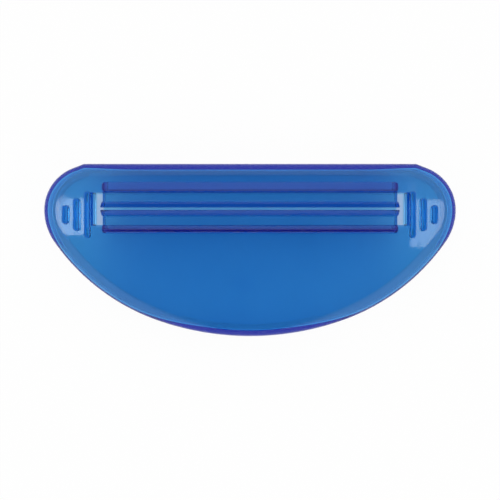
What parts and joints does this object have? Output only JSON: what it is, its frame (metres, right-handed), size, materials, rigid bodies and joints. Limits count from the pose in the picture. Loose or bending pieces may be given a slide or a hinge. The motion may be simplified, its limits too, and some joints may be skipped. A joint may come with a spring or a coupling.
{
  "type": "toothpaste tube squeezer",
  "caption": "Half-moon toothpaste tube squeezer in translucent blue plastic, with a sprung slit between raised bars and ribbed finger grips.",
  "frame": {"origin": "centre of the bounding box's footprint, on the plane that the foot of the rim rests on", "axes": "+X along the slit, to the viewer's right; +Y across the face towards the straight back edge; +Z out of the face"},
  "size_m": [0.108, 0.0452, 0.0118],
  "materials": {
    "body_plastic": "translucent blue injection-moulded plastic, glossy, with light scuffs",
    "lip_plastic": "the same translucent blue plastic, moulded thin enough to flex"
  },
  "bodies": {
    "body": {"face_shell": "body_plastic", "upper_bar": "body_plastic", "lower_bar": "body_plastic", "left_end_wall": "body_plastic", "right_end_wall": "body_plastic", "left_grip_rib_1": "body_plastic", "left_grip_rib_2": "body_plastic", "left_grip_rib_3": "body_plastic", "right_grip_rib_1": "body_plastic", "right_grip_rib_2": "body_plastic", "right_grip_rib_3": "body_plastic", "upper_hinge_web": "lip_plastic", "lower_hinge_web": "lip_plastic"},
    "upper_lip_body": {"upper_lip": "lip_plastic"},
    "lower_lip_body": {"lower_lip": "lip_plastic"}
  },
  "joints": [
    {"name": "upper_lip_flex", "type": "hinge", "parent": "body", "child": "upper_lip_body", "pos_m": [0, 0.0143, 0.0094], "axis": [-1, 0, 0], "range_deg": [0, 25], "stiffness_Nm_per_rad": 0.02, "deforming": ["upper_hinge_web"]},
    {"name": "lower_lip_flex", "type": "hinge", "parent": "body", "child": "lower_lip_body", "pos_m": [0, 0.0071, 0.0094], "axis": [1, 0, 0], "range_deg": [0, 25], "stiffness_Nm_per_rad": 0.02, "deforming": ["lower_hinge_web"]}
  ]
}
